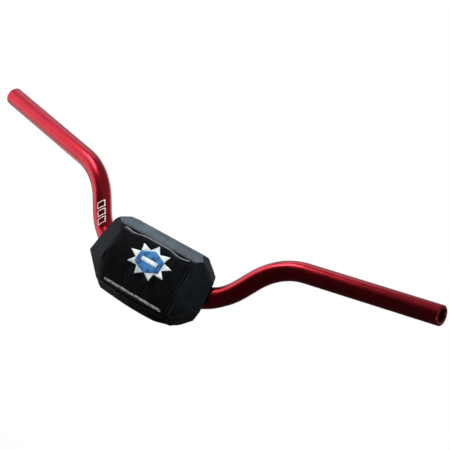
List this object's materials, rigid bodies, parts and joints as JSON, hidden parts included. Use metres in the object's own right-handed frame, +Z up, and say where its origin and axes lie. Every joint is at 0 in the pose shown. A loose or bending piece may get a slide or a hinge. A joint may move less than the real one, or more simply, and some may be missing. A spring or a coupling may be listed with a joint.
{
  "type": "motocross handlebar",
  "caption": "Motocross handlebar: a bent red aluminium tube, thicker in its clamp zone and open at the grip ends, with a black foam pad closed round its middle.",
  "frame": {"origin": "middle of the clamp zone, on the tube's axis", "axes": "+X along the clamp zone to the arm on the right of the picture, +Z up with the rise, +Y towards the rider"},
  "size_m": [0.6788, 0.051, 0.1588],
  "materials": {
    "red_anodised": "gloss red anodising",
    "black_vinyl": "semi-gloss coated cloth",
    "blue_grey_cloth": "matt coated cloth",
    "grey_vinyl": "satin coated cloth",
    "foam": "closed-cell foam",
    "hook_tape": "hook tape",
    "webbing": "woven webbing",
    "white_print": "printed film",
    "blue_print": "printed film",
    "light_print": "printed film"
  },
  "bodies": {
    "root": {"bar_tube": "red_anodised", "emblem_bar": "white_print", "emblem_burst": "white_print", "emblem_field": "blue_print", "front_hem": "black_vinyl", "left_hook_patch_high": "hook_tape", "left_hook_patch_low": "hook_tape", "left_strap": "webbing", "light_strip": "light_print", "pad_back_bottom": "black_vinyl", "pad_back_top": "black_vinyl", "pad_back_upper": "black_vinyl", "pad_bottom_strip": "black_vinyl", "pad_foam": "foam", "pad_front": "black_vinyl", "pad_left_back_lower": "black_vinyl", "pad_left_end_back": "blue_grey_cloth", "pad_left_end_corner_high": "blue_grey_cloth", "pad_left_end_corner_low": "blue_grey_cloth", "pad_left_end_lower": "blue_grey_cloth", "pad_left_end_upper": "blue_grey_cloth", "pad_right_back_lower": "black_vinyl", "pad_right_end_back": "blue_grey_cloth", "pad_right_end_corner_high": "blue_grey_cloth", "pad_right_end_corner_low": "blue_grey_cloth", "pad_right_end_lower": "blue_grey_cloth", "pad_right_end_upper": "blue_grey_cloth", "pad_top": "black_vinyl", "pad_top_strip": "grey_vinyl", "right_hook_patch_high": "hook_tape", "right_hook_patch_low": "hook_tape", "right_strap": "webbing"}
  },
  "joints": []
}
